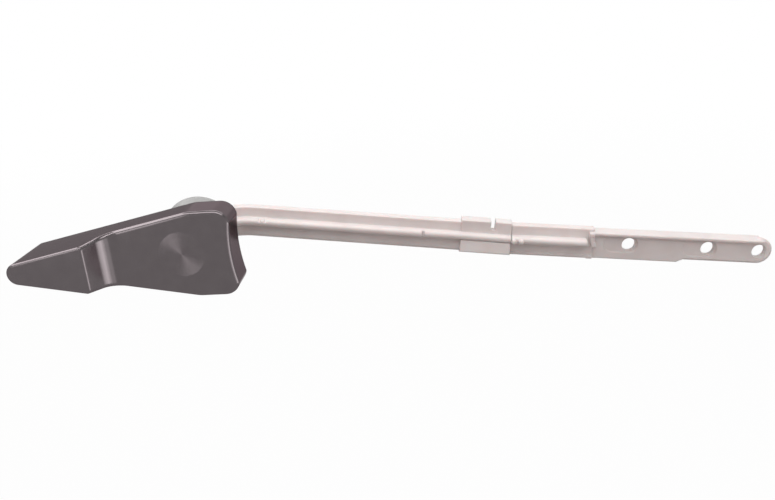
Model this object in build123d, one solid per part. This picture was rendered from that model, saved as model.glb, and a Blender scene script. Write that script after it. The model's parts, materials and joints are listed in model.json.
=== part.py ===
from build123d import *
from math import asin, degrees, radians, sin, sqrt
import os

os.makedirs("parts", exist_ok=True)

# Frame: the spindle turns about Y, the flange's rear face lies at Y 0 and the tank is on the +Y side.
# The handle runs along -X and the arm along +X, with +Z up.

# Handle casting: depths are measured forward from its back edge
handle_reach = 58.4
tip_radius = 3.75
tip_drop = 3.05
handle_half_width = 15.0
lobe_radius = 12.0
lobe_end = 14.6
lobe_drop = 2.5
corner_radius = 5.2
corner_end = 15.3
corner_lean = 0.6
tail_bite = 0.11
tail_radius = 58.0
tail_drop = 1.3
cusp_round = 1.5
handle_back = -5.0
face_depth = 11.5
pad_depth = 20.7
pad_edge = -31.6
step_run = 4.6
step_sweep = 7.0
handle_wall = 2.0
pad_round = 0.6
face_round = 1.2
boss_radius = 7.0
stiffener_thickness = 1.6
stiffener_gap = 0.8

# Spindle and its square tang, cast on the handle
spindle_radius = 4.1
tang_width = 5.2
tang_length = 6.6

# Screw that holds the arm on the tang
screw_radius = 1.5
screw_length = 12.0
screw_head_radius = 2.8
screw_head_height = 2.0
screw_head_bevel = 0.7
cross_width = 0.8
cross_reach = 1.6
cross_depth = 1.1

# Mounting bushing and nut
flange_radius = 13.0
flange_thickness = 4.2
flange_rim = 1.0
flange_face_radius = 10.6
shank_radius = 6.2
shank_length = 12.5
shank_chamfer = 0.8
shoulder_width = 13.2
shoulder_length = 4.0
shoulder_corner = 1.5
nut_flats = 16.5
nut_thickness = 4.5
nut_bevel = 0.7

# Stop: a tab on the handle swings in a window of the bushing's ring
travel = 30.0
ring_inner = 7.6
ring_outer = 9.5
ring_height = 3.0
tab_width = 3.0

# Arm bar: distances along it are measured from the spindle's axis, heights from the same axis
arm_slope = 7.25
arm_offset = 26.1
hub_radius = 4.8
hub_wall = 1.6
web_thickness = 4.0
web_top = 2.55
web_bottom = -9.2
bead_width = 4.9
bead_height = 1.1
rib_half_width = 7.2
rib_top = -1.65
rib_thickness = 2.0
rib_bevel = 0.6
edge_round = 0.5
rib_step_at = 78.1
rib_step = 0.5
gate_at = 17.3
gate_radius = 0.9
gate_height = 0.5

# Coupling: the sleeve on the arm and the tongue that plugs into it
sleeve_start = 92.4
sleeve_end = 111.3
sleeve_width = 5.6
sleeve_rise = 0.9
sleeve_drop = 0.15
sleeve_round = 0.4
slot_at = 104.4
slot_width = 1.5
slot_depth = 3.0
slot_root_radius = 1.0
tongue_length = 13.0
tongue_width = 3.4
tongue_height = 4.2
tongue_drop = 5.85
nub_radius = 0.9
nub_spacing = 2.6
nub_rise = 0.5

# End arm: ribbed stretch, gusset, then the plate under its top flange, all lifted a little at the coupling
end_lift = 1.25
rib_end = 139.6
gusset_top_at = 140.5
gusset_foot_at = 141.6
gusset_width = 1.8
gusset_drop = 5.4
plate_thickness = 2.6
step_start = 174.7
step_end = 176.5
cap_top = 1.35
cap_half_width = 4.0
cap_thickness = 1.9
cap_end = 205.3
chain_hole_1 = 156.1
chain_hole_2 = 185.6
chain_hole_3 = 204.5
chain_hole_radius = 2.6
chain_hole_drop = 3.3
end_radius = 5.0
end_bevel = 0.7
recess_reach = 9.4
recess_half_width = 3.2
recess_depth = 0.35

# Clearances
running_gap = 0.05
end_play = 0.2
seat_gap = 0.05
stop_gap = 0.3
thread_gap = 0.06
screw_gap = 0.4

face_front = handle_back - face_depth
pad_front = handle_back - pad_depth
boss_back = -flange_thickness - end_play
ring_front = -flange_thickness - ring_height
hub_front = shank_length + end_play
tang_end = hub_front + tang_length
socket_end = tang_end + end_play
hub_rear = socket_end + hub_wall
bend_radius = arm_offset - hub_front
cap_low = cap_top - cap_thickness
arm_turn = Rot(0, arm_slope, 0)
end_turn = Pos(sleeve_end, 0, 0) * Rot(0, -end_lift, 0) * Pos(-sleeve_end, 0, 0)
beyond = handle_reach + lobe_radius


def round_bar(radius, start, end):
    return extrude(Plane.XZ.offset(-start) * Circle(radius), amount=start - end)


def block(x_range, y_range, z_range):
    ranges = (x_range, y_range, z_range)
    middle = [(low + high) / 2 for low, high in ranges]
    return Pos(*middle) * Box(*[high - low for low, high in ranges])


def square_bar(width, start, end):
    half = width / 2
    return arm_turn * block((-half, half), (start, end), (-half, half))


def along_arm(sketch, start, end):
    place = Plane(origin=(start, arm_offset, 0), x_dir=(0, 1, 0), z_dir=(1, 0, 0))
    return extrude(place * sketch, amount=end - start)


def across_arm(sketch, half):
    return extrude(Plane.XZ.offset(-arm_offset) * sketch, amount=half, both=True)


def handle_plan(inset):
    tip = Pos(tip_radius - handle_reach, -tip_drop) * Circle(tip_radius - inset)
    outline = [tip.edge()]
    for side in (1, -1):
        across = side * (handle_half_width - lobe_radius) - lobe_drop
        lobe = Pos(lobe_end - lobe_radius, across) * Circle(lobe_radius - inset)
        along = corner_end - corner_radius - side * corner_lean / 2
        across = side * (handle_half_width - corner_radius) - lobe_drop
        corner = Pos(along, across) * Circle(corner_radius - inset)
        outline += [lobe.edge(), corner.edge()]
    # The tail's hollow bites into both corners
    rise = handle_half_width - corner_radius - lobe_drop + tail_drop
    middle = corner_end - corner_lean / 2 - tail_bite + sqrt(tail_radius**2 - rise**2)
    tail = Pos(middle, -tail_drop) * Circle(tail_radius + inset)
    plan = make_hull(outline) - tail
    cusps = plan.vertices().sort_by_distance(tail.edge())[:2]
    return fillet(cusps, cusp_round)


def handle_profile():
    # Seen from above: pad, leaning step and face, running past the ends and the back
    sheet = Polygon(
        (-beyond, beyond),
        (-beyond, pad_front),
        (pad_edge, pad_front),
        (pad_edge + step_run, face_front),
        (beyond, face_front),
        (beyond, beyond),
        align=None,
    )
    root = sheet.vertices().sort_by_distance((pad_edge + step_run, face_front))[0]
    return fillet(root, step_sweep)


def handle_form(plan, profile):
    prism = extrude(Plane.XZ.offset(-handle_back) * plan, amount=pad_depth + 1)
    return prism & extrude(profile, amount=beyond, both=True)


def make_handle():
    profile = handle_profile()
    body = handle_form(handle_plan(0), profile)
    front = body.edges().filter_by(lambda edge: edge.bounding_box().max.Y < face_front + 0.01)
    pad_rim = front.filter_by(lambda edge: edge.bounding_box().max.Y < pad_front + 0.01)
    body = fillet((front - pad_rim) - front.filter_by(Axis.Z), face_round)
    pad_rim = body.edges().filter_by(lambda edge: edge.bounding_box().max.Y < pad_front + 0.01)
    body = fillet(pad_rim, pad_round)
    body -= handle_form(handle_plan(handle_wall), offset(profile, -handle_wall))
    inside = handle_form(handle_plan(handle_wall / 2), offset(profile, -handle_wall / 2))
    half = stiffener_thickness / 2
    stiffener = block((-beyond, beyond), (pad_front, ring_front - stiffener_gap), (-half, half))
    body += Pos(0, 0, -lobe_drop) * stiffener & inside
    floor = face_front + handle_wall / 2
    body += round_bar(boss_radius, floor, boss_back)
    body += block((-tab_width / 2, tab_width / 2), (floor, boss_back), (0, ring_outer - stop_gap))
    body += round_bar(spindle_radius, boss_back - 1, hub_front)
    body += square_bar(tang_width, hub_front - 1, tang_end)
    return body - round_bar(screw_radius + seat_gap, hub_rear - screw_length - 1, tang_end + 1)


def make_bushing():
    bore = spindle_radius + running_gap
    section = Polygon(
        (bore, -flange_thickness),
        (flange_face_radius, -flange_thickness),
        (flange_radius, -flange_rim),
        (flange_radius, 0),
        (shank_radius, 0),
        (shank_radius, shank_length),
        (bore, shank_length),
        align=None,
    )
    mouth = section.vertices().sort_by_distance((shank_radius, shank_length))[0]
    body = revolve(chamfer(mouth, shank_chamfer), Axis.Y)
    key = RectangleRounded(shoulder_width, shoulder_width, shoulder_corner)
    shoulder = extrude(Plane.XZ.offset(1) * key, amount=-1 - shoulder_length)
    body += shoulder - round_bar(bore, -beyond, beyond)
    # The window leaves the tab free over the lever's travel
    clear = degrees(asin((tab_width / 2 + stop_gap) / ring_inner))
    ring_middle = (ring_inner + ring_outer) / 2
    wall = Pos(ring_middle, ring_front / 2) * Rectangle(ring_outer - ring_inner, -ring_front)
    ring = revolve(wall, Axis.Y, revolution_arc=360 - travel - 2 * clear)
    return body + Rot(0, clear - 90, 0) * ring


def make_nut():
    start = shoulder_length + end_play
    end = start + nut_thickness
    hexagon = RegularPolygon(nut_flats / 2, 6, major_radius=False)
    body = extrude(Plane.XZ.offset(-start) * hexagon, amount=-nut_thickness)
    blank = round_bar(nut_flats / 2 + nut_bevel, start, end)
    body &= chamfer(blank.edges().filter_by(GeomType.CIRCLE), nut_bevel)
    return body - round_bar(shank_radius + thread_gap, start - 1, end + 1)


def web_section():
    height = web_top - web_bottom
    web = Pos(0, web_top - height / 2) * Rectangle(web_thickness, height)
    web = fillet(web.vertices().group_by(Axis.Y)[-1], edge_round)
    return web + Pos(0, web_bottom + bead_height / 2) * Rectangle(bead_width, bead_height)


def rib_section(half):
    strip = Rectangle(2 * half, rib_thickness)
    return Pos(0, rib_top - rib_thickness / 2) * chamfer(strip.vertices(), rib_bevel)


def bar_section(rib_half):
    return web_section() + rib_section(rib_half)


def tongue_section(gap):
    return Pos(0, -tongue_drop) * Rectangle(tongue_width + 2 * gap, tongue_height + 2 * gap)


def make_sleeve():
    top = web_top + sleeve_rise
    height = top - web_bottom + sleeve_drop
    outline = RectangleRounded(sleeve_width, height, sleeve_round)
    body = along_arm(Pos(0, top - height / 2) * outline, sleeve_start, sleeve_end)
    slot_root = top - slot_depth + slot_root_radius
    cut = Pos(slot_at, slot_root + beyond / 2) * Rectangle(slot_width, beyond)
    cut += Pos(slot_at, slot_root) * Circle(slot_root_radius)
    return body - across_arm(cut, sleeve_width)


def make_arm():
    bend_axis = Axis((bend_radius, arm_offset - bend_radius, 0), (0, 0, 1))
    place = Plane(origin=(bend_radius, arm_offset, 0), x_dir=(0, 1, 0), z_dir=(1, 0, 0))
    body = revolve(place * bar_section(rib_half_width), bend_axis, revolution_arc=90)
    body += along_arm(bar_section(rib_half_width), bend_radius, rib_step_at)
    gate_across = arm_offset - (rib_half_width + web_thickness / 2) / 2
    body += Pos(gate_at, gate_across, rib_top) * Cylinder(gate_radius, 2 * gate_height)
    body += along_arm(bar_section(rib_half_width - rib_step), rib_step_at, sleeve_start)
    rib = along_arm(rib_section(rib_half_width - rib_step), sleeve_start, sleeve_end)
    body += make_sleeve() + rib
    socket = along_arm(tongue_section(seat_gap), sleeve_end - tongue_length - end_play, sleeve_end + 1)
    body -= end_turn * socket
    body = arm_turn * body + round_bar(hub_radius, hub_front, hub_rear)
    body -= square_bar(tang_width + 2 * seat_gap, hub_front - 1, socket_end)
    body -= round_bar(screw_radius + screw_gap, socket_end - 1, hub_rear + 1)
    return body - round_bar(screw_head_radius + screw_gap, hub_rear, hub_rear + beyond)


def make_end_plate():
    low = -chain_hole_drop - end_radius
    outline = Polygon(
        (gusset_top_at, web_bottom),
        (step_start, web_bottom),
        (step_end, low),
        (chain_hole_3, low),
        (chain_hole_3, cap_low),
        (gusset_top_at, cap_low),
        align=None,
    )
    outline += Pos(chain_hole_3, -chain_hole_drop) * Circle(end_radius)
    plate = across_arm(outline, plate_thickness / 2)
    plate = chamfer(plate.edges().filter_by(GeomType.CIRCLE), end_bevel)
    front = Plane.XZ.offset(plate_thickness / 2 - arm_offset)
    length = recess_reach + recess_half_width
    for at in (chain_hole_1, chain_hole_2):
        middle = at + recess_half_width - length / 2
        recess = Pos(middle, -chain_hole_drop) * SlotOverall(length, 2 * recess_half_width)
        plate -= extrude(front * recess, amount=-recess_depth)
    for at in (chain_hole_1, chain_hole_2, chain_hole_3):
        hole = Pos(at, -chain_hole_drop) * Circle(chain_hole_radius)
        plate -= across_arm(hole, plate_thickness)
    return plate


def make_gusset():
    foot = cap_top - gusset_drop
    outline = Polygon(
        (gusset_top_at, cap_low),
        (gusset_top_at + gusset_width, cap_low),
        (gusset_foot_at + gusset_width, foot),
        (gusset_foot_at, foot),
        align=None,
    )
    return across_arm(outline, cap_half_width)


def make_end_arm():
    start = sleeve_end + seat_gap + web_top * sin(radians(end_lift))
    body = along_arm(bar_section(rib_half_width), start, rib_end)
    body += along_arm(web_section(), rib_end, gusset_foot_at + gusset_width / 2)
    body += make_end_plate() + make_gusset()
    cap = RectangleRounded(2 * cap_half_width, cap_thickness, edge_round)
    body += along_arm(Pos(0, cap_top - cap_thickness / 2) * cap, gusset_top_at, cap_end)
    body += along_arm(tongue_section(0), sleeve_end - tongue_length, start + 1)
    for step in (0, nub_spacing):
        at = start + nub_radius + step
        place = Pos(at, arm_offset - rib_half_width + nub_radius / 2, rib_top - rib_thickness / 2)
        body += place * Cylinder(nub_radius, rib_thickness + 2 * nub_rise)
    return arm_turn * end_turn * body


def make_screw():
    head = round_bar(screw_head_radius, hub_rear, hub_rear + screw_head_height)
    crown = head.edges().filter_by(GeomType.CIRCLE).sort_by(Axis.Y)[-1]
    body = chamfer(crown, screw_head_bevel)
    body += round_bar(screw_radius, hub_rear - screw_length, hub_rear + 1)
    top = hub_rear + screw_head_height
    depth = (top - cross_depth, top + 1)
    across = (-cross_reach, cross_reach)
    thin = (-cross_width / 2, cross_width / 2)
    return body - block(across, depth, thin) - block(thin, depth, across)


pieces = {
    "handle": make_handle(),
    "mounting_bushing": make_bushing(),
    "mounting_nut": make_nut(),
    "lever_arm": make_arm(),
    "end_arm": make_end_arm(),
    "arm_screw": make_screw(),
}
for name, piece in pieces.items():
    export_step(piece, f"parts/{name}.step")
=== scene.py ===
import json
import math
import bmesh
import bpy
from mathutils import Matrix, Vector

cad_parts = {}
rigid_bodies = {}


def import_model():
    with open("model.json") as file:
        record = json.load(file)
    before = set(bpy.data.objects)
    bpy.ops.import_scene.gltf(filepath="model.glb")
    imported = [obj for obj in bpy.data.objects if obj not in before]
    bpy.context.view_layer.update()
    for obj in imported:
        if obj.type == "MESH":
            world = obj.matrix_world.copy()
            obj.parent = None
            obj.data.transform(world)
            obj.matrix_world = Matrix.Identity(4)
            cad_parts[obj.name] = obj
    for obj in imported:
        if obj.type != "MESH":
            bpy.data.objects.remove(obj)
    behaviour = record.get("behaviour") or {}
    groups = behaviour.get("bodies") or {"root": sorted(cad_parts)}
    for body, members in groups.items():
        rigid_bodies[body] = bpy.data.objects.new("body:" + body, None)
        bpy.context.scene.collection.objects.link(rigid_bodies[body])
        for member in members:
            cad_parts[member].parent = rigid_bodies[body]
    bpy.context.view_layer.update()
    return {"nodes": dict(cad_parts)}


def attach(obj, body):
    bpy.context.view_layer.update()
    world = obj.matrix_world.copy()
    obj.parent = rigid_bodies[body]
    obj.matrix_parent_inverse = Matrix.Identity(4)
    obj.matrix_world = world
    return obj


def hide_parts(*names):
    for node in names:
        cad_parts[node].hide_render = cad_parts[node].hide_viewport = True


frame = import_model()
nodes = frame["nodes"]
print("frame loaded:", ", ".join(sorted(nodes)))


class Wire:  # a shader socket that can be used in sums
    def __init__(self, tree, socket=None):
        self.tree = tree
        self.socket = socket

    def add(self, kind, settings=None, inputs=None, output=0):
        node = self.tree.nodes.new("ShaderNode" + kind)
        for name, value in (settings or {}).items():
            setattr(node, name, value)
        for name, value in (inputs or {}).items():
            if isinstance(value, Wire):
                self.tree.links.new(value.socket, node.inputs[name])
            else:
                node.inputs[name].default_value = value
        return Wire(self.tree, node.outputs[output]) if node.outputs else node

    def sum(self, operation, other=0.0, flipped=False):
        first, second = (other, self) if flipped else (self, other)
        return self.add("Math", {"operation": operation}, {0: first, 1: second})

    def __add__(self, other):
        return self.sum("ADD", other)

    def __sub__(self, other):
        return self.sum("SUBTRACT", other)

    def __rsub__(self, other):
        return self.sum("SUBTRACT", other, True)

    def __mul__(self, other):
        return self.sum("MULTIPLY", other)

    __radd__ = __add__
    __rmul__ = __mul__

    def ramp(self, low, high):  # 0 at low, 1 at high, smooth between
        ends = {"From Min": low, "From Max": high}
        return self.add("MapRange", {"interpolation_type": "SMOOTHSTEP"}, {"Value": self, **ends})

    def blend(self, first, second):  # colours, by this wire
        return self.add("Mix", {"data_type": "RGBA"}, {0: self, 6: first, 7: second}, 2)

    def axes(self):  # a vector's three parts
        return [self.add("SeparateXYZ", None, {0: self}, axis) for axis in range(3)]

    def noise(self, scale, detail):  # at the places that this wire gives
        return self.add("TexNoise", None, {"Vector": self, "Scale": scale, "Detail": detail})


edgeSamples = 8  # rays of a Bevel node


def newMaterial(name):
    material = bpy.data.materials.new(name)
    material.use_nodes = True
    material.node_tree.nodes.clear()
    return material, Wire(material.node_tree)


def endMaterial(wire, inputs):
    shader = wire.add("BsdfPrincipled", None, inputs)
    wire.add("OutputMaterial", None, {"Surface": shader})


def roundedBump(wire, radius, height, distance):  # relief over edges that are softened by radius
    soft = wire.add("Bevel", {"samples": edgeSamples}, {"Radius": radius})
    relief = {"Strength": 1.0, "Distance": distance, "Height": height, "Normal": soft}
    return wire.add("Bump", None, relief)


def grey(level):
    return (level, level, level, 1.0)


def dress(material, *names):
    for name in names:
        slots = nodes[name].data.materials
        slots.clear()
        slots.append(material)


# Dark nickel plating: polished, with a turned patch on the face over the spindle, dull in the hollow back.
# A noise is given by its scale and detail, in every finish.
platedLook = {
    "deep": (0.103, 0.089, 0.093, 1.0),
    "pale": (0.124, 0.109, 0.113, 1.0),
    "cast": (0.105, 0.100, 0.100, 1.0),
    "edgeTint": (0.55, 0.50, 0.515, 1.0),
    "softEdge": 0.0008,
    "roughness": 0.15,
    "hazeRoughness": 0.06,
    "patchRoughness": 0.06,
    "castRoughness": 0.5,
    "haze": (240.0, 3.0),
    "lines": (2600.0, 2.0),
    "lineStretch": (0.05, 1.0, 1.0),
    "lineHeight": 0.0000012,
    "castGrain": (1300.0, 4.0),
    "castHeight": 0.00002,
    "backFacing": (0.5, 0.9),
    "faceY": (-0.0164, -0.0162),
    "patchX": -0.0023,
    "patchZ": -0.0021,
    "patchEdge": (0.00738, 0.0082),
    "ringPitch": 0.00026,
    "ringHeight": 0.000011,
}


def makePlating(look):
    material, wire = newMaterial("darkNickel")
    place = wire.add("TexCoord", None, None, "Object")
    normal = wire.add("NewGeometry", None, None, "Normal")
    facing = wire.add("SeparateXYZ", None, {0: normal}, 1)
    hollow = facing.ramp(*look["backFacing"])  # faces that look back into the tank
    x, y, z = place.axes()
    across, up = x - look["patchX"], z - look["patchZ"]
    reach = (across * across + up * up).sum("SQRT")
    patch = (1 - reach.ramp(*look["patchEdge"])) * (1 - y.ramp(*look["faceY"]))
    rings = (reach * (2 * math.pi / look["ringPitch"])).sum("SINE") * patch
    haze = place.noise(*look["haze"])
    stretched = wire.add("VectorMath", {"operation": "MULTIPLY"}, {0: place, 1: look["lineStretch"]})
    lines = stretched.noise(*look["lines"])
    grain = place.noise(*look["castGrain"]) * hollow
    height = rings * look["ringHeight"] + lines * look["lineHeight"] + grain * look["castHeight"]
    polish = look["roughness"] + haze * look["hazeRoughness"] + patch * look["patchRoughness"]
    endMaterial(wire, {
        "Base Color": hollow.blend(haze.blend(look["deep"], look["pale"]), look["cast"]),
        "Metallic": 1.0,
        "Roughness": polish + hollow * (look["castRoughness"] - look["roughness"]),
        "Specular Tint": look["edgeTint"],
        "Normal": roundedBump(wire, look["softEdge"], height, 1.0),
    })
    return material


# Warm white moulded plastic of the arm
armLook = {
    "shade": (0.755, 0.69, 0.675, 1.0),
    "light": (0.80, 0.74, 0.725, 1.0),
    "roughness": 0.36,
    "flow": (90.0, 4.0),
    "grain": (2400.0, 2.0),
    "translucence": 0.35,
    "shine": 0.2,
    "softEdge": 0.0007,
}

# Grey moulded plastic of the bushing and its nut
bushingLook = {
    "shade": (0.29, 0.29, 0.285, 1.0),
    "light": (0.33, 0.33, 0.325, 1.0),
    "roughness": 0.45,
    "flow": (160.0, 4.0),
    "grain": (2600.0, 2.0),
    "translucence": 0.0,
    "shine": 0.4,
    "softEdge": 0.0003,
}

# What both plastics share
mouldedLook = {
    "flowBlend": (0.35, 0.65),
    "grainHeight": 0.00001,
    "grainRoughness": 0.08,
    "scatter": (1.0, 0.45, 0.35),
    "scatterDepth": 0.002,
}


def makeMoulded(name, look):
    material, wire = newMaterial(name)
    place = wire.add("TexCoord", None, None, "Object")
    flow = place.noise(*look["flow"]).ramp(*mouldedLook["flowBlend"])
    grain = place.noise(*look["grain"])
    endMaterial(wire, {
        "Base Color": flow.blend(look["shade"], look["light"]),
        "Roughness": look["roughness"] + grain * mouldedLook["grainRoughness"],
        "Subsurface Weight": look["translucence"],
        "Subsurface Radius": mouldedLook["scatter"],
        "Subsurface Scale": mouldedLook["scatterDepth"],
        "Specular IOR Level": look["shine"],
        "Normal": roundedBump(wire, look["softEdge"], grain, mouldedLook["grainHeight"]),
    })
    return material


# Zinc plated steel of the screw
zincLook = {
    "shade": (0.42, 0.43, 0.44, 1.0),
    "light": (0.62, 0.62, 0.60, 1.0),
    "roughness": 0.28,
    "flakeRoughness": 0.12,
    "flakeScale": 900.0,
}


def makeZinc(look):
    material, wire = newMaterial("zincPlate")
    place = wire.add("TexCoord", None, None, "Object")
    flake = wire.add("TexVoronoi", None, {"Vector": place, "Scale": look["flakeScale"]}, "Color")
    tone = wire.add("SeparateColor", None, {0: flake}, 0)
    endMaterial(wire, {
        "Base Color": tone.blend(look["shade"], look["light"]),
        "Metallic": 1.0,
        "Roughness": look["roughness"] + tone * look["flakeRoughness"],
    })
    return material


dress(makePlating(platedLook), "handle")
dress(makeMoulded("armPlastic", armLook), "lever_arm", "end_arm")
dress(makeMoulded("bushingPlastic", bushingLook), "mounting_bushing", "mounting_nut")
dress(makeZinc(zincLook), "arm_screw")
print("materials made")


def activate(piece):
    bpy.ops.object.select_all(action="DESELECT")
    piece.select_set(True)
    bpy.context.view_layer.objects.active = piece


def addShape(operator, **values):  # a primitive, with nothing else selected
    bpy.ops.object.select_all(action="DESELECT")
    operator(**values)
    return bpy.context.object


def copyNode(name, newName):
    piece = nodes[name].copy()
    piece.data = nodes[name].data.copy()
    piece.name = newName
    bpy.context.collection.objects.link(piece)
    activate(piece)
    bpy.ops.object.parent_clear(type="CLEAR_KEEP_TRANSFORM")
    bpy.ops.mesh.customdata_custom_splitnormals_clear()
    return piece


def mergePoints(gap):
    bpy.ops.object.mode_set(mode="EDIT")
    bpy.ops.mesh.select_all(action="SELECT")
    bpy.ops.mesh.remove_doubles(threshold=gap)
    bpy.ops.object.mode_set(mode="OBJECT")


def closeEnds(tool):
    bpy.ops.object.mode_set(mode="EDIT")
    bpy.ops.mesh.select_all(action="SELECT")
    bpy.ops.mesh.fill_holes(sides=0)
    bpy.ops.mesh.normals_make_consistent(inside=False)
    bpy.ops.object.mode_set(mode="OBJECT")
    return tool


def carve(piece, tool, operation="DIFFERENCE"):
    activate(piece)
    change = piece.modifiers.new("carve", "BOOLEAN")
    change.operation = operation
    change.solver = "MANIFOLD"
    change.object = tool
    bpy.ops.object.modifier_apply(modifier=change.name)
    bpy.data.objects.remove(tool)


# Coarse thread on the bushing's shank, cut as a helical groove
threadCut = {
    "start": 0.0030,
    "pitch": 0.0025,
    "turns": 5,
    "steps": 48,
    "rootRadius": 0.00545,
    "outerRadius": 0.0068,
    "halfWidth": 0.00105,
    "mergeGap": 0.000002,
    "smoothAngle": 35.0,
}


def makeGroove(cut):
    groove = addShape(bpy.ops.mesh.primitive_circle_add, vertices=3, radius=1.0)
    root, outer, half = cut["rootRadius"], cut["outerRadius"], cut["halfWidth"]
    corners = [(root, 0.0), (outer, half), (outer, -half)]
    for point, (out, along) in zip(groove.data.vertices, corners):
        point.co = (out, cut["start"] + along, 0.0)
    screw = groove.modifiers.new("turns", "SCREW")
    screw.axis = "Y"
    screw.iterations = cut["turns"]
    screw.screw_offset = cut["pitch"]
    screw.steps = screw.render_steps = cut["steps"]
    bpy.ops.object.modifier_apply(modifier=screw.name)
    mergePoints(cut["mergeGap"])
    return closeEnds(groove)


def threadBushing(cut):
    groove = makeGroove(cut)
    bushing = copyNode("mounting_bushing", "threadedBushing")
    mergePoints(cut["mergeGap"])
    carve(bushing, groove)
    bpy.ops.object.shade_smooth_by_angle(angle=math.radians(cut["smoothAngle"]))
    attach(bushing, "bushing")
    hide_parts("mounting_bushing")
    print("thread cut:", len(bushing.data.polygons), "faces")


threadBushing(threadCut)

# Both arms are measured along, across and up from their line, and the end arm is lifted at the coupling.
# They have one rib, which is raised by a thin stock and then rounded to a nose.
armLine = {
    "tilt": math.radians(7.25),
    "lift": math.radians(1.25),
    "coupling": 0.1113,
    "middle": 0.0261,
    "bendRadius": 0.0134,
    "bendSteps": 18,
    "stockUp": (-0.0024, -0.00115),
    "ribTop": -0.00115,
    "ribThickness": 0.00256,
    "noseUpper": 0.00134,
    "noseLower": 0.00122,
    "noseTrim": 0.0019,
    "noseSteps": 6,
    "spare": 0.0002,
    "mergeGap": 0.000002,
    "smoothAngle": 32.0,
    "flatWeight": 100,
}


def placeOnArm(tool, start, across=0.0, lifted=False):
    tool.location = (start * math.cos(armLine["tilt"]), across, -start * math.sin(armLine["tilt"]))
    tool.rotation_euler.y = armLine["tilt"] - (armLine["lift"] if lifted else 0.0)
    bpy.ops.object.transform_apply(location=True, rotation=True, scale=True)


def pickPoints(piece, test):
    bpy.ops.object.mode_set(mode="EDIT")
    bpy.ops.mesh.select_mode(type="VERT")
    bpy.ops.mesh.select_all(action="DESELECT")
    bpy.ops.object.mode_set(mode="OBJECT")
    for point in piece.data.vertices:
        point.select = test(point.co)
    bpy.ops.object.mode_set(mode="EDIT")


def pickEdges(piece, test):
    bpy.ops.object.mode_set(mode="EDIT")
    bpy.ops.mesh.select_mode(type="EDGE")
    bpy.ops.mesh.select_all(action="DESELECT")
    shape = bmesh.from_edit_mesh(piece.data)
    for edge in shape.edges:
        edge.select = test(edge)
    bmesh.update_edit_mesh(piece.data)


def addBlock(along, across, up, lifted=False, backDrop=0.0, flare=1.0):
    start = armLine["coupling"] if lifted else 0.0
    spans = [(along[0] - start, along[1] - start), across, up]
    centre, level = sum(across) / 2, sum(up) / 2
    block = addShape(bpy.ops.mesh.primitive_cube_add, size=1.0)
    bpy.ops.object.mode_set(mode="EDIT")
    bpy.ops.transform.resize(value=[high - low for low, high in spans])
    bpy.ops.transform.translate(value=[(high + low) / 2 for low, high in spans])
    bpy.ops.object.mode_set(mode="OBJECT")
    if flare != 1.0:  # wider at the foot
        pickPoints(block, lambda place: place.z < level)
        bpy.ops.transform.resize(value=(1.0, flare, 1.0), center_override=(0.0, centre, 0.0))
        bpy.ops.object.mode_set(mode="OBJECT")
    if backDrop:  # the floor of a slot falls away to the back
        pickPoints(block, lambda place: place.y > centre and place.z < level)
        bpy.ops.transform.translate(value=(0.0, 0.0, -backDrop))
        bpy.ops.object.mode_set(mode="OBJECT")
    placeOnArm(block, start, lifted=lifted)
    return block


def addProfile(points):
    profile = addShape(bpy.ops.mesh.primitive_circle_add, vertices=len(points), radius=1.0)
    for point, (across, up) in zip(profile.data.vertices, points):
        point.co = (0.0, across, up)
    return profile


def ribStock(centre, half):  # raises the rib before its edges are rounded
    low, high = armLine["stockUp"]
    return [(centre - half, low), (centre + half, low), (centre + half, high), (centre - half, high)]


def ribCorner(nose, inward):  # what comes off the rib's edge, to leave it round
    upper, lower, spare = armLine["noseUpper"], armLine["noseLower"], armLine["spare"]
    top, steps = armLine["ribTop"], armLine["noseSteps"]
    low, clear = top - armLine["ribThickness"], nose - inward * armLine["noseTrim"]
    points = [(nose + inward * upper, top + spare), (clear, top + spare)]
    points += [(clear, low - spare), (nose + inward * lower, low - spare)]
    turns = [math.radians(90.0 * step / steps) for step in range(steps + 1)]
    for turn in turns:
        across = nose + inward * lower * (1 - math.sin(turn))
        points.append((across, low + lower * (1 - math.cos(turn))))
    for turn in turns[1:]:
        across = nose + inward * upper * (1 - math.cos(turn))
        points.append((across, top - upper * (1 - math.sin(turn))))
    return points


def webFoot(centre, side, cuts):  # what comes off the web's lower edge, to leave it bevelled
    inner, face, clear = [centre + side * half for half in cuts["footHalf"]]
    below, foot, bevel, above = cuts["footUp"]
    return [(inner, below), (clear, below), (clear, above), (face, above), (face, bevel), (inner, foot)]


def sweepStraight(points, along, lifted=False):
    start = armLine["coupling"] if lifted else 0.0
    tool = addProfile(points)
    bpy.ops.object.mode_set(mode="EDIT")
    bpy.ops.mesh.select_all(action="SELECT")
    bpy.ops.transform.translate(value=(along[0] - start, 0.0, 0.0))
    move = {"value": (along[1] - along[0], 0.0, 0.0)}
    bpy.ops.mesh.extrude_region_move(TRANSFORM_OT_translate=move)
    bpy.ops.object.mode_set(mode="OBJECT")
    closeEnds(tool)
    placeOnArm(tool, start, lifted=lifted)
    return tool


def sweepBent(points, angle, reach):  # round the bend, then along the bar as far as reach
    bend = armLine["bendRadius"]
    tool = addProfile(points)
    turn = tool.modifiers.new("bend", "SCREW")
    turn.axis = "Z"
    turn.angle = math.radians(angle)
    turn.steps = turn.render_steps = armLine["bendSteps"]
    bpy.ops.object.modifier_apply(modifier=turn.name)
    pickEdges(tool, lambda edge: all(abs(point.co.x) < armLine["mergeGap"] for point in edge.verts))
    bpy.ops.mesh.extrude_region_move(TRANSFORM_OT_translate={"value": (reach - bend, 0.0, 0.0)})
    bpy.ops.object.mode_set(mode="OBJECT")
    closeEnds(tool)
    placeOnArm(tool, bend, armLine["middle"] - bend)
    return tool


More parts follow.
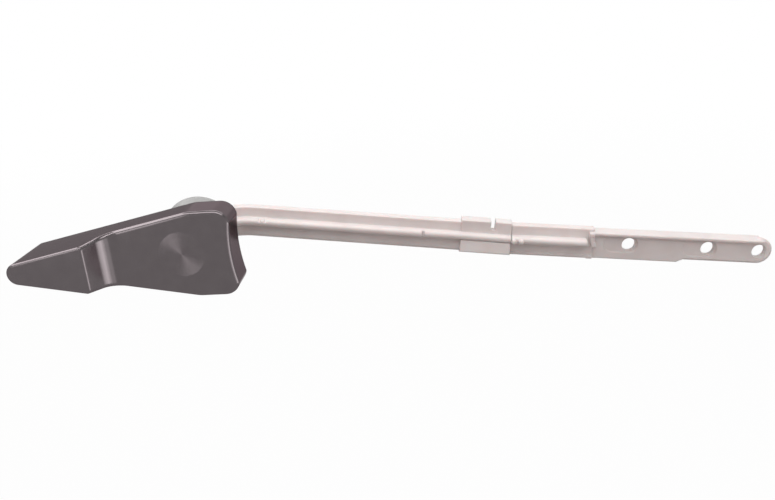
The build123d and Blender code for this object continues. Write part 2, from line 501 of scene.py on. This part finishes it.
def endArmPiece(piece, node):
    activate(piece)
    bpy.ops.object.shade_smooth_by_angle(angle=math.radians(armLine["smoothAngle"]))
    flatten = piece.modifiers.new("flatten", "WEIGHTED_NORMAL")  # keeps the large faces even
    flatten.weight = armLine["flatWeight"]
    flatten.keep_sharp = True
    bpy.ops.object.modifier_apply(modifier=flatten.name)
    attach(piece, "lever")
    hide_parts(node)
    print(piece.name, "shaped:", len(piece.data.polygons), "faces")


# Main arm: raised and rounded rib, flared cheeks on the sleeve, deeper slot with a sloped floor,
# ring round the moulding gate, notch where the rib narrows, bevelled foot in place of the bead
ribbedArmCuts = {
    "stockHalf": 0.0066,
    "stockTurn": 89.9,
    "stockReach": 0.11125,
    "cheekAlong": (0.09245, 0.11122),
    "cheekHalf": 0.0048,
    "cheekFlare": 1.23,
    "cheekUp": (-0.0081, -0.0029),
    "slotAlong": (0.10350, 0.10535),
    "slotHalf": 0.0040,
    "slotUp": (0.0003, 0.0040),
    "slotFall": 0.0019,
    "notchAlong": (0.0777, 0.0787),
    "notchAcross": (0.0047, 0.0080),
    "notchUp": (-0.0042, -0.0008),
    "gateAt": (0.0173, 0.0209, -0.00131),
    "gateLean": math.radians(28.0),
    "gateRadii": (0.00125, 0.0005),
    "gateSteps": (32, 10),
    "footHalf": (0.0012, 0.00202, 0.0036),
    "footUp": (-0.0096, -0.00921, -0.0084, -0.0074),
    "footReach": 0.0923,
    "bentTurn": 93.0,  # past the bend's end, so that no sliver is left there
    "bentHalf": 0.0059,
    "bentReach": 0.0781,
    "sleeveHalf": 0.0055,
    "sleeveAlong": (0.07805, 0.1114),
}


def gateRing(cuts):
    along, across, up = cuts["gateAt"]
    tilt = armLine["tilt"]
    x = along * math.cos(tilt) + up * math.sin(tilt)
    z = up * math.cos(tilt) - along * math.sin(tilt)
    major, minor = cuts["gateRadii"]
    majorSteps, minorSteps = cuts["gateSteps"]
    ring = addShape(
        bpy.ops.mesh.primitive_torus_add, location=(x, across, z), rotation=(cuts["gateLean"], tilt, 0.0),
        major_radius=major, minor_radius=minor, major_segments=majorSteps, minor_segments=minorSteps)
    bpy.ops.object.transform_apply(location=True, rotation=True, scale=True)
    return ring


def shapeRibbedArm(cuts):
    middle, bend = armLine["middle"], armLine["bendRadius"]
    arm = copyNode("lever_arm", "ribbedArm")
    mergePoints(armLine["mergeGap"])
    stock = ribStock(bend, cuts["stockHalf"])
    carve(arm, sweepBent(stock, cuts["stockTurn"], cuts["stockReach"]), "UNION")
    cheek = (middle - cuts["cheekHalf"], middle + cuts["cheekHalf"])
    carve(arm, addBlock(cuts["cheekAlong"], cheek, cuts["cheekUp"], flare=cuts["cheekFlare"]), "UNION")
    slot = (middle - cuts["slotHalf"], middle + cuts["slotHalf"])
    carve(arm, addBlock(cuts["slotAlong"], slot, cuts["slotUp"], backDrop=cuts["slotFall"]))
    near, far = cuts["notchAcross"]
    for notch in ((middle - far, middle - near), (middle + near, middle + far)):
        carve(arm, addBlock(cuts["notchAlong"], notch, cuts["notchUp"]))
    carve(arm, gateRing(cuts))
    for side in (1, -1):
        carve(arm, sweepBent(webFoot(bend, side, cuts), cuts["bentTurn"], cuts["footReach"]))
    for inward in (1, -1):
        corner = ribCorner(bend - inward * cuts["bentHalf"], inward)
        carve(arm, sweepBent(corner, cuts["bentTurn"], cuts["bentReach"]))
        corner = ribCorner(middle - inward * cuts["sleeveHalf"], inward)
        carve(arm, sweepStraight(corner, cuts["sleeveAlong"]))
    endArmPiece(arm, "lever_arm")


# End arm: the same rib, round beads in place of the nubs, bevelled foot, thinner and rounded front lip
# on the flange over the chain holes
chainArmCuts = {
    "stockHalf": 0.0066,
    "stockAlong": (0.11145, 0.1395),
    "ribHalf": 0.0059,
    "ribAlong": (0.1111, 0.1398),
    "nubAlong": (0.1111, 0.1180),
    "nubAcross": (0.0170, 0.0206),
    "nubUp": (-0.0070, -0.00366),
    "footHalf": (0.00185, 0.00247, 0.0036),
    "footUp": (-0.0096, -0.00921, -0.0086, -0.0074),
    "footAlong": (0.1110, 0.1404),
    "beadsAlong": (0.1123, 0.1150),
    "beadAt": (0.0200, -0.0026),
    "beadRadius": 0.00105,
    "beadSteps": (24, 12),
    "lipAlong": (0.1423, 0.2070),
    "lipFront": (0.0200, 0.0230),
    "lipUp": (-0.0020, 0.0030),
    "underAcross": (0.0200, 0.02475),
    "underUp": (-0.00065, 0.0001),
    "lipTop": 0.00135,
    "lipNear": (0.00002, 0.00003),
    "lipRound": 0.0004,
    "lipSteps": 3,
}


def addBead(along, cuts):
    start = armLine["coupling"]
    segments, rings = cuts["beadSteps"]
    bead = addShape(
        bpy.ops.mesh.primitive_uv_sphere_add, segments=segments, ring_count=rings,
        radius=cuts["beadRadius"], location=(along - start, *cuts["beadAt"]))
    bpy.ops.object.transform_apply(location=True, rotation=True, scale=True)
    placeOnArm(bead, start, lifted=True)
    return bead


def heightOnEndArm(place):  # up from the lifted arm's own line
    tilt, lift = armLine["tilt"], armLine["lift"]
    past = place.x * math.cos(tilt) - place.z * math.sin(tilt) - armLine["coupling"]
    up = place.x * math.sin(tilt) + place.z * math.cos(tilt)
    return up * math.cos(lift) - past * math.sin(lift)


def onLip(edge, cuts):  # the flange's two long front edges
    nearFront, nearHeight = cuts["lipNear"]
    front = all(abs(point.co.y - cuts["lipFront"][1]) < nearFront for point in edge.verts)
    heights = [heightOnEndArm(point.co) for point in edge.verts]
    levels = (cuts["lipTop"], cuts["underUp"][1])
    return front and any(all(abs(height - level) < nearHeight for height in heights) for level in levels)


def shapeChainArm(cuts):
    middle = armLine["middle"]
    arm = copyNode("end_arm", "chainArm")
    mergePoints(armLine["mergeGap"])
    stock = ribStock(middle, cuts["stockHalf"])
    carve(arm, sweepStraight(stock, cuts["stockAlong"], True), "UNION")
    for inward in (1, -1):
        corner = ribCorner(middle - inward * cuts["ribHalf"], inward)
        carve(arm, sweepStraight(corner, cuts["ribAlong"], True))
    carve(arm, addBlock(cuts["nubAlong"], cuts["nubAcross"], cuts["nubUp"], True))
    for side in (1, -1):
        carve(arm, sweepStraight(webFoot(middle, side, cuts), cuts["footAlong"], True))
    for along in cuts["beadsAlong"]:
        carve(arm, addBead(along, cuts), "UNION")
    carve(arm, addBlock(cuts["lipAlong"], cuts["lipFront"], cuts["lipUp"], True))
    carve(arm, addBlock(cuts["lipAlong"], cuts["underAcross"], cuts["underUp"], True))
    pickEdges(arm, lambda edge: onLip(edge, cuts))
    bpy.ops.mesh.bevel(offset=cuts["lipRound"], segments=cuts["lipSteps"], affect="EDGES")
    bpy.ops.object.mode_set(mode="OBJECT")
    endArmPiece(arm, "end_arm")


shapeRibbedArm(ribbedArmCuts)
shapeChainArm(chainArmCuts)

# Camera at the picture's angle, for an image of 775 by 500
cameraView = {
    "focalPixels": 754.55,
    "imageWidth": 775,
    "azimuth": 4.25,
    "elevation": 20.44,
    "roll": -4.24,
    "target": (0.06498, 0.0, -0.01012),
    "distance": 0.26443,
    "sensor": 36.0,
    "clipStart": 0.01,
}


def addCamera(view):
    az, el, roll = [math.radians(view[key]) for key in ("azimuth", "elevation", "roll")]
    back = Vector((math.sin(az) * math.cos(el), -math.cos(az) * math.cos(el), math.sin(el)))
    right = Vector((math.cos(az), math.sin(az), 0.0))
    turn = Matrix.Rotation(roll, 3, back)
    axes = Matrix((turn @ right, turn @ back.cross(right), back)).transposed()
    data = bpy.data.cameras.new("camera")
    data.sensor_width = view["sensor"]
    data.sensor_fit = "HORIZONTAL"
    data.lens = view["focalPixels"] * view["sensor"] / view["imageWidth"]
    data.clip_start = view["clipStart"]
    camera = bpy.data.objects.new("camera", data)
    spot = Matrix.Translation(Vector(view["target"]) + back * view["distance"])
    camera.matrix_world = spot @ axes.to_4x4()
    bpy.context.collection.objects.link(camera)
    bpy.context.scene.camera = camera


# Lamps: radiance is how much each adds in a mirror, against a white of 1.
# Those with an aim are turned to it, and the others hang flat and shine straight down.
lamps = {
    "overheadBox": {"at": (0.08, 0.0, 0.60), "size": (0.9, 0.5), "radiance": 1.95},
    "frontBox": {
        "at": (0.08, -0.50, 0.50), "aim": (0.08, 0.02, 0.0), "size": (0.8, 0.35), "radiance": 1.5},
    "edgeStrip": {
        "at": (-0.30, -0.10, 0.60), "size": (1.7, 1.1), "radiance": 5.0, "glossOnly": True},
    "backBox": {
        "at": (0.05, 0.62, 0.25), "aim": (0.05, 0.0, 0.15), "size": (0.62, 0.34),
        "radiance": 0.42, "glossOnly": True},
    "leftBox": {
        "at": (-0.26, -0.44, 0.02), "aim": (0.0, 0.0, 0.0), "size": (0.14, 0.20),
        "radiance": 3.0, "glossOnly": True},
    "rightFar": {
        "at": (0.34, -0.09, -0.09), "aim": (-0.03, -0.015, 0.0), "size": (0.20, 0.14),
        "radiance": 1.4, "glossOnly": True},
    "rightMiddle": {
        "at": (0.31, -0.14, -0.09), "aim": (-0.03, -0.015, 0.0), "size": (0.22, 0.14),
        "radiance": 1.2, "glossOnly": True},
    "rightNear": {
        "at": (0.24, -0.22, -0.09), "aim": (-0.03, -0.015, 0.0), "size": (0.26, 0.14),
        "radiance": 0.8, "glossOnly": True},
}


def addLamp(name, lamp):
    glossOnly = lamp.get("glossOnly", False)
    data = bpy.data.lights.new(name, "AREA")
    data.shape = "RECTANGLE"
    data.size, data.size_y = lamp["size"]
    data.energy = lamp["radiance"] * math.pi * data.size * data.size_y
    light = bpy.data.objects.new(name, data)
    light.location = lamp["at"]
    if "aim" in lamp:
        facing = (Vector(lamp["aim"]) - light.location).to_track_quat("-Z", "Y")
        light.rotation_euler = facing.to_euler()
    light.visible_camera = False
    light.visible_diffuse = not glossOnly
    light.visible_glossy = glossOnly
    bpy.context.collection.objects.link(light)


# Floor and backdrop: white to the camera, with pale walls and a dimmer far left end in reflections
stageLook = {
    "floorZ": -0.16,
    "floorSize": 12.0,
    "floorColour": (0.36, 0.342, 0.337, 1.0),
    "shadowShare": 0.02,
    "shadowReach": (0.3, 1.2),
    "white": grey(1.0),
    "ambient": (0.46, 0.436, 0.431, 1.0),
    "ceiling": grey(0.6),
    "coveRise": (0.25, 0.6),
    "coveBehind": (0.1, 0.4),
    "farEnd": grey(0.55),
    "farRise": (0.06, 0.25),
    "farSide": (-0.3, -0.05),
    "farBehind": (0.3, 0.8),
}


def seenDirectly(wire):  # 1 for the rays that show the white background
    kinds = ("Is Camera Ray", "Is Glossy Ray", "Is Transmission Ray")
    camera, glossy, through = [wire.add("LightPath", None, None, kind) for kind in kinds]
    return camera.sum("MAXIMUM", glossy).sum("MAXIMUM", through)


def addFloor(look):
    floor = addShape(
        bpy.ops.mesh.primitive_plane_add, size=look["floorSize"], location=(0.0, 0.0, look["floorZ"]))
    floor.name = "studioFloor"
    material, wire = newMaterial("paleFloor")
    place = wire.add("TexCoord", None, None, "Object")
    away = wire.add("VectorMath", {"operation": "LENGTH"}, {0: place}, "Value")
    near = (1 - away.ramp(*look["shadowReach"])) * look["shadowShare"]  # where the shadow shows
    paint = wire.add("BsdfDiffuse", None, {"Color": look["floorColour"]})
    glow = wire.add("Emission", None, {"Color": look["white"], "Strength": 1.0})
    share = seenDirectly(wire) * (1 - near)
    surface = wire.add("MixShader", None, {0: share, 1: paint, 2: glow})
    wire.add("OutputMaterial", None, {"Surface": surface})
    floor.data.materials.append(material)


def addWorld(look):
    world = bpy.data.worlds.new("studio")
    bpy.context.scene.world = world
    world.use_nodes = True
    world.node_tree.nodes.clear()
    wire = Wire(world.node_tree)
    side, behind, up = wire.add("TexCoord", None, None, "Generated").axes()
    camera = wire.add("LightPath", None, None, "Is Camera Ray")
    cove = (1 - up.ramp(*look["coveRise"])).sum("MAXIMUM", behind.ramp(*look["coveBehind"]))
    walls = cove.blend(look["ceiling"], look["white"])
    lowLeft = (1 - up.ramp(*look["farRise"])) * (1 - side.ramp(*look["farSide"]))
    far = behind.ramp(*look["farBehind"]) * lowLeft
    backdrop = camera.blend(far.blend(walls, look["farEnd"]), look["white"])
    colour = seenDirectly(wire).blend(look["ambient"], backdrop)
    wire.add("OutputWorld", None, {"Surface": wire.add("Background", None, {"Color": colour})})


addCamera(cameraView)
for lampName, lampValues in lamps.items():
    addLamp(lampName, lampValues)
addFloor(stageLook)
addWorld(stageLook)
bpy.context.scene.view_settings.view_transform = "Standard"
print("camera, lamps and floor placed")
